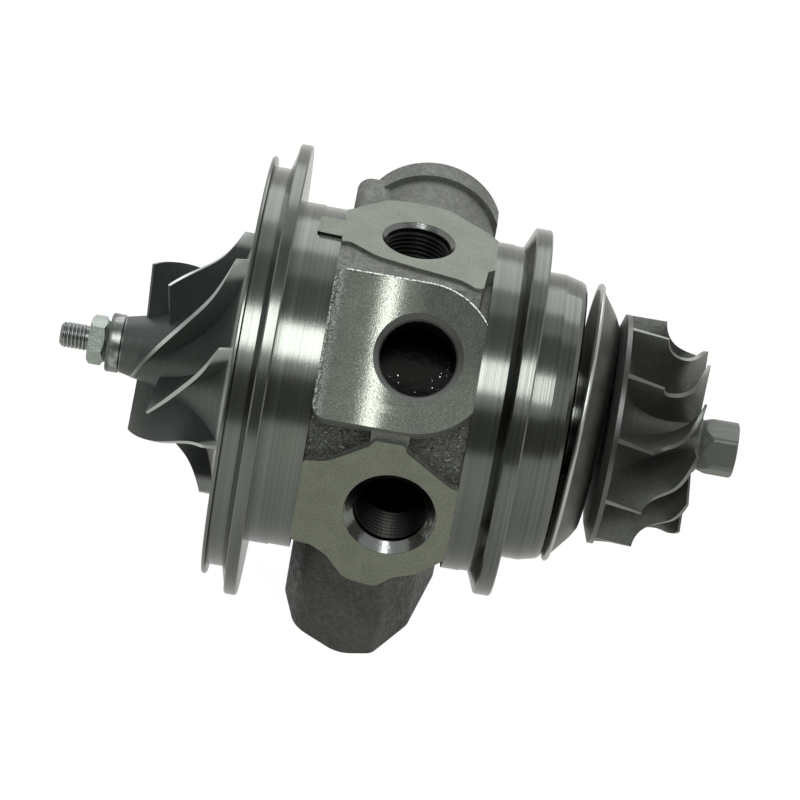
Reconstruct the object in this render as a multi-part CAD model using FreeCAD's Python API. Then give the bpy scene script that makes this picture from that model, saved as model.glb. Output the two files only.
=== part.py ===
import FreeCAD, Part
import math
import os

# Turbocharger cartridge: the bearing housing, everything inside it and the bladed rotor.
# Millimetres. X runs along the shaft, compressor at -X and turbine at +X; +Z is up, with the
# oil inlet on top and the oil drain below. The origin is on the shaft axis, in the mating
# face of the turbine flange. Angles about the shaft start at -Y and grow towards +Z.

os.makedirs("parts", exist_ok=True)
Vec = FreeCAD.Vector
SHAFT = Vec(1, 0, 0)
CENTRE = Vec(0, 0, 0)

# Housing: lengths along the shaft, from the turbine flange's mating face to the compressor face
turbine_flange_thickness = 3.5
clamp_cone_length = 1.8
turbine_band_length = 5.7
casting_length = 31.6
compressor_band_length = 9.2
snap_flange_thickness = 2.6
seat_cone_length = 1.2
seal_groove_width = 3.1
lip_thickness = 1.0

# Housing: outside radii
turbine_flange_radius = 38.6
turbine_band_radius = 34.4
casting_radius = 33.4
compressor_band_radius = 35.8
snap_flange_radius = 47.4
seat_cone_radius = 46.4
seal_groove_radius = 41.9
lip_radius = 44.0
edge_break = 0.3
tool_step = 0.2

# Housing: turbine end
pilot_radius = 30.1
pilot_straight = 4.5
pilot_length = 9.0
pilot_end_radius = 29.3
pilot_round = 1.2
spigot_radius = 11.0
spigot_length = 4.0
turbine_seal_bore = 8.25
oil_chamber_radius = 14.0
oil_chamber_length = 10.1
turbine_wall = 4.5

# Housing: compressor end
wheel_recess_depth = 1.0
wheel_recess_radius = 30.0
insert_depth = 9.5
insert_radius = 20.0
thrust_pocket_depth = 16.3
thrust_pocket_radius = 17.0
slinger_length = 3.0
slinger_radius = 11.0

# Housing: cavities
drain_chamber_radius = 20.0
drain_chamber_inner = 10.5
drain_chamber_angle = 84.0
jacket_inner = 22.5
jacket_outer = 29.0
jacket_end_wall = 3.0
post_wall = 3.5
gallery_radius = 1.5

# Pads and ports: distance of each face from the shaft axis, place back from the casting's turbine end
oil_pad_height = 36.2
oil_port_back = 16.2
oil_port_radius = 6.65
oil_port_mouth = 7.55
oil_port_depth = 15.0
angled_pad_height = 36.5
angled_pad_tilt = 42.7
angled_port_back = 12.5
angled_port_radius = 7.65
angled_port_mouth = 9.05
angled_pad_half_width = 15.5
angled_pad_corner = 3.0
water_pad_height = 36.2
water_port_back = 12.7
water_port_level = -7.0
water_port_radius = 7.5
water_port_mouth = 9.4
far_boss_height = 39.0
far_port_back = 14.0
far_port_level = 19.0
far_collar_radius = 15.3
far_collar_thickness = 6.0
far_neck_radius = 14.2
fill_level = 35.5
fill_end_back = 2.2
fill_depth = 0.5
fill_foot = 8.0
web_height = 35.2
tab_rounding = 0.7

# Oil drain boss, with its two tapped holes
drain_face_level = -50.0
drain_back = 14.0
drain_offset = 2.0
drain_bore_radius = 8.0
drain_bolt_spacing = 34.0
drain_bolt_direction = 70.5
drain_bolt_radius = 3.4
drain_bolt_depth = 14.0

# Rotor
journal_radius = 4.0
waist_radius = 3.6
stub_radius = 2.6
stud_radius = 2.5
seal_hub_radius = 8.0
seal_hub_start = 4.9
weld_station = 13.5
stud_end = 97.1
stud_chamfer = 0.5
thrust_ring_radius = 8.0
thrust_ring_thickness = 2.0
sleeve_neck_radius = 4.9
sleeve_flange_radius = 8.2
sleeve_flange_thickness = 1.7
sleeve_seal_radius = 7.0
ring_groove_depth = 1.0
ring_groove_width = 1.3
seal_ring_play = 0.1
seal_bore_clearance = 0.1

# Bushes and thrust bearing
bush_length = 8.0
bush_outer = 6.95
bush_bore_clearance = 0.05
bush_running_clearance = 0.03
bush_end_float = 0.2
bush_chamfer = 0.4
bush_oil_hole = 0.9
retainer_width = 1.0
retainer_inner = 5.2
retainer_outer = 7.6
retainer_land = 0.8
retainer_play = 0.05
thrust_bearing_thickness = 4.0
thrust_end_clearance = 0.1
thrust_screw_circle = 13.6
thrust_screw_radius = 1.5
thrust_screw_head = 2.6
thrust_screw_length = 9.0
thrust_bore_clearance = 0.4
screw_clearance = 0.1
oil_way_half = 5.0

# Compressor end cover parts
deflector_thickness = 0.8
insert_clearance = 0.05
insert_land = 1.6
snap_lead = 0.7
snap_groove_width = 1.1
snap_ring_thickness = 1.0
snap_ring_inner = 18.2
snap_groove_depth = 0.9
o_ring_section = 1.95

# Compressor wheel
wheel_back_gap = 0.5
wheel_disc_rim = 0.9
exducer_radius = 27.5
exducer_width = 3.0
inducer_radius = 18.5
inducer_station = 21.0
inducer_hub_radius = 6.8
nose_radius = 6.15
nose_length = 2.6
compressor_wheel_length = 27.7
full_blades = 4
splitter_start = 0.19
hub_steps = 13
blade_wrap = 70.3
compressor_phase = 10.7
compressor_blade_tip = 0.85
compressor_blade_root = 1.3
nut_across_flats = 9.0
nut_length = 4.1
nut_washer_length = 0.8
nut_chamfer = 0.35
nut_turn = 31.0

# Turbine wheel
turbine_disc_back = 17.1
turbine_disc_start = 18.3
turbine_disc_front = 19.3
turbine_tip_radius = 24.15
turbine_inlet_end = 26.9
turbine_exit_station = 36.2
turbine_exit_radius = 19.4
turbine_exit_hub = 6.2
turbine_blades = 11
turbine_turn = 30.0
turbine_inlet_lean = -3.7
turbine_phase = 58.9
turbine_blade_tip = 0.85
turbine_blade_root = 1.7
neck_radius = 5.2
nose_start = 40.4
nose_end = 45.4
nose_corner_radius = 6.2
nose_rounding = 1.5
nose_turn = 45.0

# Heat shield
shield_radius = 29.5
shield_thickness = 1.0
shield_rim_width = 1.4
shield_rim_station = 11.1
shield_crown_station = 15.6
shield_crown_radius = 22.5
shield_lip_clearance = 0.3
shield_lip_length = 2.4
shield_tilt = 2.1
shield_lean_angle = 31.0

# Stations that follow from the lengths above
x_cone = -turbine_flange_thickness
x_turbine_band = x_cone - clamp_cone_length
x_cast_end = x_turbine_band - turbine_band_length
x_cast_start = x_cast_end - casting_length
x_snap_back = x_cast_start - compressor_band_length
x_snap_front = x_snap_back - snap_flange_thickness
x_groove_end = x_snap_front - seat_cone_length
x_lip_back = x_groove_end - seal_groove_width
x_face = x_lip_back - lip_thickness
x_recess = x_face + wheel_recess_depth
x_insert_seat = x_face + insert_depth
x_thrust_seat = x_face + thrust_pocket_depth
x_hub_front = x_thrust_seat + slinger_length
x_hub_back = turbine_wall - oil_chamber_length
x_spigot = pilot_length + spigot_length
bearing_bore = bush_outer + bush_bore_clearance
x_thrust_front = x_thrust_seat - thrust_bearing_thickness
x_thrust_ring = x_thrust_seat + thrust_end_clearance
x_shoulder = x_thrust_ring + thrust_ring_thickness
x_wheel_back = x_recess - wheel_back_gap
x_sleeve_end = x_wheel_back + 0.2
x_nose = x_wheel_back - compressor_wheel_length
x_oil_port = x_cast_end - oil_port_back
x_drain = x_cast_end - drain_back


def turned(outline):
    """a solid turned about the shaft from a closed outline of (x, radius) points"""
    points = [Vec(x, 0, r) for x, r in outline]
    return Part.Face(Part.makePolygon(points + points[:1])).revolve(CENTRE, SHAFT, 360)


def bar(x_from, x_to, radius):
    """a round bar along the shaft"""
    return Part.makeCylinder(radius, x_to - x_from, Vec(x_from, 0, 0), SHAFT)


def tube(x_from, x_to, inner, outer):
    """a plain tube along the shaft"""
    return turned([(x_from, inner), (x_from, outer), (x_to, outer), (x_to, inner)])


def band(x_from, x_to, radius):
    """the outline of a turned rim with both of its edges broken"""
    return [(x_from, radius - edge_break), (x_from + edge_break, radius),
            (x_to - edge_break, radius), (x_to, radius - edge_break)]


def outward(tilt):
    """the direction away from the shaft at an angle about it"""
    angle = math.radians(tilt)
    return Vec(0, -math.cos(angle), math.sin(angle))


def on_pad(x, across, height, tilt):
    """a point on a pad: along the shaft, across the pad, and out from the axis"""
    angle = math.radians(tilt)
    return Vec(x, math.sin(angle) * across, math.cos(angle) * across) + outward(tilt) * height


def on_wheel(x, radius, angle):
    """a point of a wheel at an angle about the shaft"""
    return Vec(x, 0, 0) + outward(angle) * radius


def contour(outline, tilt, height):
    """a flat face on a pad from (along the shaft, across, corner radius) rows, its corners rounded"""
    rows = [(on_pad(x, t, height, tilt), r) for x, t, r in outline]
    ends = []
    edges = []
    for n, (corner, radius) in enumerate(rows):
        before = (rows[n - 1][0] - corner).normalize()
        after = (rows[(n + 1) % len(rows)][0] - corner).normalize()
        half = before.getAngle(after) / 2
        reach = radius / math.tan(half)
        inner = (before + after).normalize()
        ends.append((corner + before * reach, corner + inner * (radius / math.sin(half) - radius),
                     corner + after * reach))
    for n, (start, middle, end) in enumerate(ends):
        if rows[n][1] > 0:
            edges.append(Part.Arc(start, middle, end).toShape())
        edges.append(Part.makeLine(end, ends[(n + 1) % len(ends)][0]))
    return Part.Face(Part.Wire(edges))


def rounded(solid, direction, radius):
    """the solid with its edges along one direction rounded"""
    edges = []
    for edge in solid.Edges:
        if isinstance(edge.Curve, Part.Line):
            if abs(edge.tangentAt(edge.FirstParameter).dot(direction)) > 0.99:
                edges.append(edge)
    return solid.makeFillet(radius, edges)


def block(outline, tilt, bottom, top):
    """a pad cast on the housing, its outline given as (along the shaft, across, corner radius) rows"""
    return contour(outline, tilt, bottom).extrude(outward(tilt) * (top - bottom))


def drilled(x, across, tilt, height, radius, mouth, depth):
    """a port bored square to its pad, with a bevelled mouth"""
    start = on_pad(x, across, height, tilt)
    inward = outward(tilt) * -1
    bevel = Part.makeCone(mouth, radius, mouth - radius, start, inward)
    return Part.makeCylinder(radius, depth, start, inward).fuse(bevel)


def split_ring(x_from, x_to, inner, outer, gap_angle, gap_at):
    """a spring ring with a gap"""
    ring = tube(x_from, x_to, inner, outer)
    reach = 2 * outer
    half = math.radians(gap_angle) / 2
    wedge_points = [Vec(x_from - 1, 0, 0), Vec(x_from - 1, -reach * math.sin(half), reach * math.cos(half)),
                    Vec(x_from - 1, reach * math.sin(half), reach * math.cos(half))]
    wedge = Part.Face(Part.makePolygon(wedge_points + wedge_points[:1])).extrude(SHAFT * (x_to - x_from + 2))
    wedge.rotate(CENTRE, SHAFT, gap_at)
    return ring.cut(wedge)


def save(name, shape):
    """one piece to its own file"""
    shape.exportStep("parts/" + name + ".step")


def housing_outline():
    """the turned outside of the bearing housing, from the compressor face to the turbine spigot"""
    half = compressor_band_length / 2
    middle = x_turbine_band - turbine_band_length / 3
    return (
        band(x_face, x_lip_back, lip_radius)
        + [(x_lip_back, seal_groove_radius), (x_groove_end, seal_groove_radius), (x_snap_front, seat_cone_radius)]
        + band(x_snap_front, x_snap_back, snap_flange_radius)
        + [(x_snap_back, compressor_band_radius), (x_snap_back + half, compressor_band_radius),
           (x_snap_back + half, compressor_band_radius - tool_step), (x_cast_start, compressor_band_radius - tool_step),
           (x_cast_start, casting_radius), (x_cast_end, casting_radius),
           (x_cast_end, turbine_band_radius), (middle, turbine_band_radius),
           (middle, turbine_band_radius - tool_step), (x_turbine_band, turbine_band_radius - tool_step)]
        + [(x_cone, turbine_flange_radius - edge_break), (x_cone + edge_break, turbine_flange_radius),
           (-edge_break, turbine_flange_radius), (0, turbine_flange_radius - edge_break), (0, pilot_radius)]
        + [(pilot_straight, pilot_radius), (pilot_length - pilot_round, pilot_end_radius),
           (pilot_length - pilot_round / 3, pilot_end_radius - pilot_round / 3),
           (pilot_length, pilot_end_radius - pilot_round)]
        + [(pilot_length, spigot_radius), (x_spigot, spigot_radius)])


def housing_pads():
    """the four port pads, the casting between them and the drain boss"""
    inside = casting_radius / 2
    left, right = x_cast_start, x_cast_end
    keep = bar(left, right, 2 * snap_flange_radius)
    middle = x_oil_port
    oil_pad = block([(left, -5.8, 0.4), (middle - 13.6, -5.3, 2), (middle - 7.8, -9.4, 8), (middle + 0.7, -11.5, 16),
                     (middle + 9.7, -13.3, 6), (right - 3.6, -15.5, 0.8), (right - 1.9, -15.4, 0.6),
                     (right - 1.4, -8.1, 0.9), (right, -6.8, 0.5), (right, 5.4, 0.8), (middle + 14.2, 7.9, 4),
                     (middle + 5.2, 15.2, 6), (middle - 1.3, 15.9, 14), (middle - 7.2, 15.2, 5), (left, 7.7, 0.6)],
                    90, inside, oil_pad_height)
    tab = block([(left - 5.2, -3.4, tab_rounding), (left + 1, -3.8, 0), (left + 1, 3.2, 0),
                 (left - 5.0, 3.2, tab_rounding)], 90, inside, oil_pad_height)
    middle = x_cast_end - angled_port_back
    half = angled_pad_half_width
    angled = block([(left, -half, angled_pad_corner), (middle, -half, 0), (middle, half, 0),
                    (left, half, angled_pad_corner)], angled_pad_tilt, inside, angled_pad_height)
    round_end = Part.makeCylinder(half, angled_pad_height - inside, on_pad(middle, 0, inside, angled_pad_tilt),
                                  outward(angled_pad_tilt))
    angled = angled.fuse(round_end).common(keep)
    foot = on_pad(left, fill_foot, angled_pad_height - fill_depth, angled_pad_tilt)
    slope = math.tan(math.radians(90 - angled_pad_tilt))
    fill = Part.Face(Part.makePolygon([foot, Vec(left, foot.y + (fill_level - foot.z) / slope, fill_level),
                                       Vec(left, 0, fill_level), Vec(left, 0, inside), foot]))
    fill = fill.extrude(SHAFT * (right - fill_end_back - left))
    middle = x_cast_end - water_port_back
    water = block([(left, 2.3, 0.8), (middle - 14.1, 3.0, 8), (middle - 6.5, 8.0, 2), (middle - 5.3, 9.6, 0.7),
                   (middle + 0.7, 9.6, 0.8), (middle + 1.2, 8.0, 1.2), (middle + 11.1, 1.6, 2), (right, 1.4, 0),
                   (right, -15.4, 1.0), (middle + 7.7, -20.0, 8), (middle + 2.7, -21.8, 4), (middle - 0.3, -24.7, 3),
                   (middle - 6.9, -23.9, 4), (middle - 11.3, -19.0, 4), (middle - 14.7, -17.2, 4), (left, -17.0, 1.3)],
                  0, inside, water_pad_height)
    web = block([(middle - 6.2, 4, 0), (middle + 1.1, 4, 0), (middle + 1.6, 17, 0), (middle - 6.6, 17, 0)],
                0, inside, web_height)
    middle = x_cast_end - far_port_back
    level = -far_port_level
    neck = Part.makeCylinder(far_neck_radius, far_boss_height - inside / 2,
                             on_pad(middle, level, inside / 2, 180), outward(180))
    collar = Part.makeCylinder(far_collar_radius, far_collar_thickness,
                               on_pad(middle, level, far_boss_height - far_collar_thickness, 180), outward(180))
    shoulder = block([(left + 1, level - 10.5, 3), (middle, level - 10.5, 0), (middle, level + 13.8, 0),
                      (left + 1, level + 13.8, 3)], 180, inside / 2, far_boss_height - far_collar_thickness / 2)
    drain = block([(x_drain + u, -drain_offset - v, r) for u, v, r in
                   [(-17.7, -6, 9), (-14.0, -20.5, 9), (-4.0, -27.6, 6), (3.0, -25.6, 3), (9.6, -13, 6),
                    (13.9, 8, 8), (12.5, 24.5, 6), (1, 26.5, 7), (-9, 17, 8)]],
                  270, inside, -drain_face_level)
    return [oil_pad, tab, angled, fill, water, web, neck.common(keep), collar.common(keep), shoulder, drain.common(keep)]


def upright(x, y, z_from, z_to, radius):
    """a vertical round bar"""
    return Part.makeCylinder(radius, z_to - z_from, Vec(x, y, z_from), Vec(0, 0, 1))


def slanted(start, end, radius):
    """a drilling between two points"""
    way = end - start
    return Part.makeCylinder(radius, way.Length, start, way)


def bush_stations():
    """start of each bush and of the retaining rings at its two ends"""
    ring_pitch = bush_length + 2 * bush_end_float + retainer_width
    front_ring = x_hub_front + retainer_land
    rear_ring = x_hub_back - retainer_land - retainer_width
    rings = [front_ring, front_ring + ring_pitch, rear_ring - ring_pitch, rear_ring]
    bushes = [front_ring + retainer_width + bush_end_float, rear_ring - bush_end_float - bush_length]
    return rings, bushes


def bearing_housing():
    """the cast and machined housing with its bores, oil and water spaces"""
    outline = housing_outline()
    body = turned([(x_face, 0)] + outline + [(x_spigot, 0)])
    body = body.multiFuse(housing_pads())
    rings, bushes = bush_stations()
    cuts = [
        bar(x_face - 1, x_recess, wheel_recess_radius),
        bar(x_recess - 1, x_insert_seat, insert_radius),
        bar(x_insert_seat - 1, x_thrust_seat, thrust_pocket_radius),
        bar(x_thrust_seat - 1, x_hub_front, slinger_radius),
        bar(x_hub_front - 1, x_hub_back + 1, bearing_bore),
        bar(x_hub_back, turbine_wall, oil_chamber_radius),
        bar(turbine_wall - 1, x_spigot + 1, turbine_seal_bore),
        bar(x_recess + snap_lead, x_recess + snap_lead + snap_groove_width, insert_radius + snap_groove_depth)]
    cuts += [bar(x, x + retainer_width, retainer_outer) for x in rings]
    sector = Part.Face(Part.makePolygon([Vec(x, 0, r) for x, r in [
        (x_thrust_seat, drain_chamber_inner), (x_thrust_seat, drain_chamber_radius),
        (turbine_wall, drain_chamber_radius), (turbine_wall, drain_chamber_inner),
        (x_thrust_seat, drain_chamber_inner)]]))
    sector.rotate(CENTRE, SHAFT, 180 - drain_chamber_angle / 2)
    cuts.append(sector.revolve(CENTRE, SHAFT, drain_chamber_angle))
    cuts.append(upright(x_drain, drain_offset, drain_face_level - 1, -drain_chamber_inner - 4, drain_bore_radius))
    jacket = tube(x_cast_start + jacket_end_wall, x_cast_end + jacket_end_wall / 2, jacket_inner, jacket_outer)
    oil_post = upright(x_oil_port, 0, 0, oil_pad_height, oil_port_radius + post_wall)
    drain_post = upright(x_drain, drain_offset, drain_face_level, 0, drain_bore_radius + post_wall)
    cuts.append(jacket.cut(oil_post).cut(drain_post))
    cuts.append(drilled(x_oil_port, 0, 90, oil_pad_height, oil_port_radius, oil_port_mouth, oil_port_depth))
    cuts.append(drilled(x_cast_end - angled_port_back, 0, angled_pad_tilt, angled_pad_height, angled_port_radius,
                        angled_port_mouth, angled_pad_height - jacket_inner - 1))
    cuts.append(drilled(x_cast_end - water_port_back, water_port_level, 0, water_pad_height, water_port_radius,
                        water_port_mouth, water_pad_height - jacket_inner - 1))
    cuts.append(drilled(x_cast_end - far_port_back, -far_port_level, 180, far_boss_height, water_port_radius,
                        water_port_mouth, far_boss_height - jacket_inner + 7))
    well = Vec(x_oil_port, 0, oil_pad_height - oil_port_depth + 1)
    for bush in bushes:
        cuts.append(slanted(well, Vec(bush + bush_length / 2, 0, bearing_bore - 1), gallery_radius))
    cuts.append(slanted(well, Vec(x_thrust_seat - 1, 0, slinger_radius + 2), gallery_radius))
    for sign in (-1, 1):
        x, y = drain_bolt_place(sign)
        cuts.append(upright(x, y, drain_face_level - 1, drain_face_level + drain_bolt_depth, drain_bolt_radius))
    for x, y, z in screw_places():
        cuts.append(bar(x_thrust_seat - 1, x_thrust_front + thrust_screw_length + 1, thrust_screw_radius)
                    .translated(Vec(0, y, z)))
    return body.cut(cuts)


def drain_bolt_place(sign):
    """one of the two bolt holes beside the drain"""
    angle = math.radians(drain_bolt_direction)
    reach = sign * drain_bolt_spacing / 2
    return x_drain + reach * math.cos(angle), drain_offset + reach * math.sin(angle)


def screw_places():
    """the three thrust bearing screws, one at the top and two lower down"""
    return [(0, *(outward(90 + 120 * n) * thrust_screw_circle)[1:]) for n in range(3)]


def path_points(shape, start, end, first_angle, turn, begin=0.0, count=11):
    """points along a flow path: shape lists the fractions of its axial run, radial run and turn"""
    spline = Part.BSplineCurve()
    steps = [n / (len(shape) - 1) for n in range(len(shape))]
    spline.interpolate(Points=[Vec(*row) for row in shape], Parameters=steps)
    points = []
    for n in range(count):
        u = spline.value(begin + (1 - begin) * n / (count - 1))
        points.append((start[0] + u.x * (end[0] - start[0]), start[1] + u.y * (end[1] - start[1]),
                       first_angle + u.z * turn))
    return points


def blade(root, tip, root_thickness, tip_thickness, sink):
    """one thin curved blade between its root and tip paths, its root sunk into the hub"""
    count = len(root)
    feet = [on_wheel(*p) for p in root]
    heads = [on_wheel(*p) for p in tip]
    rails = [[], [], [], []]
    for n in range(count):
        before, after = max(n - 1, 0), min(n + 1, count - 1)
        span = (heads[n] - feet[n]).normalize()
        fullness = 0.62 + 0.38 * math.sin(math.pi * n / (count - 1)) ** 0.5
        for end, line, thickness in ((0, feet, root_thickness), (1, heads, tip_thickness)):
            side = (line[after] - line[before]).cross(span).normalize() * (thickness * fullness / 2)
            place = line[n] - span * sink if end == 0 else line[n]
            rails[2 * end].append(place + side)
            rails[2 * end + 1].append(place - side)
    edges = []
    for rail in rails:
        spline = Part.BSplineCurve()
        spline.interpolate(Points=rail)
        edges.append(spline.toShape())
    faces = [Part.makeRuledSurface(edges[a], edges[b]) for a, b in ((0, 2), (1, 3), (0, 1), (2, 3))]
    for n in (0, -1):
        low = Part.makeLine(rails[0][n], rails[1][n])
        high = Part.makeLine(rails[2][n], rails[3][n])
        faces.append(Part.makeRuledSurface(low, high))
    shell = Part.Shell(faces)
    shell.sewShape()
    solid = Part.Solid(shell)
    if solid.Volume < 0:
        solid.reverse()
    return solid


def hub(shape, start, end, rest):
    """a wheel's hub: the root path of its blades in short cones, closed by straight stretches"""
    return turned([(x, r) for x, r, angle in path_points(shape, start, end, 0, 0, 0.0, hub_steps)] + rest)


# Flow paths as (share of the axial run, share of the radial run, share of the turn)
inducer_tip_shape = [(0, 0, 0), (0.22, 0.02, 0.27), (0.42, 0.07, 0.46), (0.61, 0.15, 0.63), (0.78, 0.32, 0.78),
                     (0.90, 0.61, 0.90), (1, 1, 1)]
inducer_root_shape = [(0, 0, 0), (0.22, 0.06, 0.27), (0.42, 0.14, 0.46), (0.61, 0.26, 0.64), (0.78, 0.45, 0.79),
                      (0.91, 0.71, 0.91), (1, 1, 1.01)]
turbine_tip_shape = [(0, 0, 0), (0.08, 0.54, 0.01), (0.25, 0.90, 0.07), (0.46, 1.08, 0.15), (0.68, 1.12, 0.31),
                     (0.85, 1.04, 0.60), (1, 1, 1)]
turbine_root_shape = [(0, 0, 0), (0.05, 0.31, 0), (0.17, 0.565, 0), (0.36, 0.765, 0.03), (0.59, 0.885, 0.13),
                      (0.81, 0.96, 0.42), (1, 1, 0.88)]


def compressor_wheel():
    """the cast aluminium wheel, with full and splitter blades by turns"""
    tip_front = x_wheel_back - wheel_disc_rim - exducer_width
    root = ((x_wheel_back - inducer_station + 0.4, inducer_hub_radius), (x_wheel_back - wheel_disc_rim, exducer_radius))
    tip = ((x_wheel_back - inducer_station, inducer_radius), (tip_front, exducer_radius - 0.02))
    x_collar = x_nose + nose_length
    wheel = hub(inducer_root_shape, *root,
                [(x_wheel_back, exducer_radius), (x_wheel_back, sleeve_seal_radius),
                 (x_sleeve_end, sleeve_seal_radius - 0.4), (x_sleeve_end, stub_radius), (x_nose, stub_radius),
                 (x_nose, nose_radius - edge_break), (x_nose + edge_break, nose_radius), (x_collar, nose_radius),
                 (x_collar + edge_break, nose_radius - edge_break)])
    parts = []
    for kind, begin in ((0, 0.0), (1, splitter_start)):
        paths = [path_points(shape, *ends, 0, blade_wrap, begin)
                 for shape, ends in ((inducer_root_shape, root), (inducer_tip_shape, tip))]
        one = blade(*paths, compressor_blade_root, compressor_blade_tip, wheel_disc_rim / 2)
        for n in range(full_blades):
            turned_to = compressor_phase + 180 * kind / full_blades + 360 * n / full_blades
            parts.append(one.rotated(CENTRE, SHAFT, -turned_to))
    return wheel.multiFuse(parts)


def compressor_nut():
    """the hexagon nut with a washer face, bevelled at both ends"""
    start = x_nose - nut_length
    corner = nut_across_flats / math.sqrt(3)
    prism = Part.Face(Part.makePolygon([Vec(start, corner * math.sin(math.radians(60 * n + nut_turn)),
                                            corner * math.cos(math.radians(60 * n + nut_turn)))
                                        for n in range(7)])).extrude(SHAFT * nut_length)
    flat = nut_across_flats / 2
    washer = x_nose - nut_washer_length
    bevel = turned([(start, 0), (start, flat), (start + nut_chamfer * 1.7, corner), (washer - nut_chamfer, corner),
                    (washer, flat), (x_nose, flat - nut_chamfer), (x_nose, 0)])
    return prism.common(bevel).cut(bar(start - 1, x_nose + 1, stud_radius + 0.03))


def rotor_shaft():
    """the steel shaft: seal hub, two journals with a waist between, stub and threaded stud"""
    rings, bushes = bush_stations()
    waist = (bushes[0] + bush_length + 1.5, bushes[1] - 1.5)
    groove = turbine_ring_groove()
    floor = seal_hub_radius - ring_groove_depth - 0.4
    stud_start = x_nose + nose_length
    return turned([(-stud_end, 0), (-stud_end, stud_radius - stud_chamfer), (stud_chamfer - stud_end, stud_radius),
                   (stud_start, stud_radius), (stud_start, stub_radius), (x_shoulder, stub_radius),
                   (x_shoulder, journal_radius), (waist[0], journal_radius), (waist[0] + 0.4, waist_radius),
                   (waist[1] - 0.4, waist_radius), (waist[1], journal_radius), (x_hub_back + 1, journal_radius),
                   (seal_hub_start - 1, seal_hub_radius - 2), (seal_hub_start, seal_hub_radius),
                   (groove[0], seal_hub_radius), (groove[0], floor), (groove[1], floor), (groove[1], seal_hub_radius),
                   (weld_station, seal_hub_radius), (weld_station, 0)])


def turbine_ring_groove():
    """start and end of the seal ring groove at the turbine end"""
    middle = (turbine_wall + x_spigot) / 2
    return middle - ring_groove_width / 2, middle + ring_groove_width / 2


def turbine_wheel():
    """the cast wheel with its full back disc, curved blades and six-sided nose"""
    root = ((turbine_disc_front, turbine_tip_radius), (turbine_exit_station + 0.2, turbine_exit_hub))
    tip = ((turbine_inlet_end, turbine_tip_radius - 0.02), (turbine_exit_station, turbine_exit_radius))
    x_neck = turbine_exit_station + 1.8
    wheel = hub(turbine_root_shape, *root,
                [(x_neck - 0.6, turbine_exit_hub - 0.2), (x_neck, neck_radius), (nose_start, neck_radius),
                 (nose_start, 0), (weld_station, 0), (weld_station, seal_hub_radius),
                 (turbine_disc_back, seal_hub_radius), (turbine_disc_back, turbine_tip_radius * 0.86),
                 (turbine_disc_start, turbine_tip_radius)])
    paths = [path_points(turbine_root_shape, *root, 0, turbine_turn),
             path_points(turbine_tip_shape, *tip, turbine_inlet_lean, turbine_turn - turbine_inlet_lean)]
    one = blade(*paths, turbine_blade_root, turbine_blade_tip, (turbine_disc_front - turbine_disc_start) / 2)
    parts = [one.rotated(CENTRE, SHAFT, -turbine_phase - 360 * n / turbine_blades) for n in range(turbine_blades)]
    corners = [on_wheel(x_neck, nose_corner_radius, 60 * n + nose_turn) for n in range(7)]
    nose = Part.Face(Part.makePolygon(corners)).extrude(SHAFT * (nose_end - x_neck))
    nose = rounded(nose, SHAFT, nose_rounding)
    taper = turned([(x_neck, 0), (x_neck, neck_radius), (nose_start + 0.6, nose_corner_radius),
                    (nose_end - 0.5, nose_corner_radius), (nose_end, nose_corner_radius - 0.8), (nose_end, 0)])
    return wheel.multiFuse(parts + [nose.common(taper)])


def journal_bearing(start):
    """a full-floating bush with its oil holes"""
    bore = journal_radius + bush_running_clearance
    middle = start + bush_length / 2
    chamfer = bush_chamfer
    bush = turned([(start, bore + chamfer / 2), (start, bush_outer - chamfer), (start + chamfer, bush_outer),
                   (start + bush_length - chamfer, bush_outer), (start + bush_length, bush_outer - chamfer),
                   (start + bush_length, bore + chamfer / 2), (start + bush_length - chamfer / 2, bore),
                   (start + chamfer / 2, bore)])
    holes = [Part.makeCylinder(bush_oil_hole, 2 * bush_outer, Vec(middle, 0, 0), outward(90 * n)) for n in range(4)]
    return bush.cut(holes)


def thrust_ring():
    """the collar behind the thrust bearing"""
    return tube(x_thrust_ring, x_shoulder, stub_radius, thrust_ring_radius)


def thrust_sleeve():
    """the sleeve through the thrust bearing, with its oil flinger and two seal ring grooves"""
    x_flange = x_thrust_front - thrust_end_clearance
    x_seal = x_flange - sleeve_flange_thickness
    floor = sleeve_seal_radius - ring_groove_depth
    outline = [(x_sleeve_end, stub_radius), (x_sleeve_end, sleeve_seal_radius - edge_break),
               (x_sleeve_end + edge_break, sleeve_seal_radius)]
    for start in sleeve_ring_grooves():
        end = start + ring_groove_width
        outline += [(start, sleeve_seal_radius), (start, floor), (end, floor), (end, sleeve_seal_radius)]
    outline += [(x_seal, sleeve_seal_radius), (x_seal, sleeve_flange_radius), (x_flange, sleeve_flange_radius),
                (x_flange, sleeve_neck_radius), (x_thrust_ring, sleeve_neck_radius), (x_thrust_ring, stub_radius)]
    return turned(outline)


def sleeve_ring_grooves():
    """start of each seal ring groove on the sleeve, from the compressor side"""
    first = x_insert_seat - insert_land - ring_groove_width
    return [first - 2 * ring_groove_width, first]


def seal_ring(start, shaft_radius, bore):
    """a split piston ring, sprung into its bore and clear of the groove that turns inside it"""
    return split_ring(start + seal_ring_play, start + ring_groove_width - seal_ring_play,
                      shaft_radius - ring_groove_depth + 0.25, bore, 6, 90)


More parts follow.
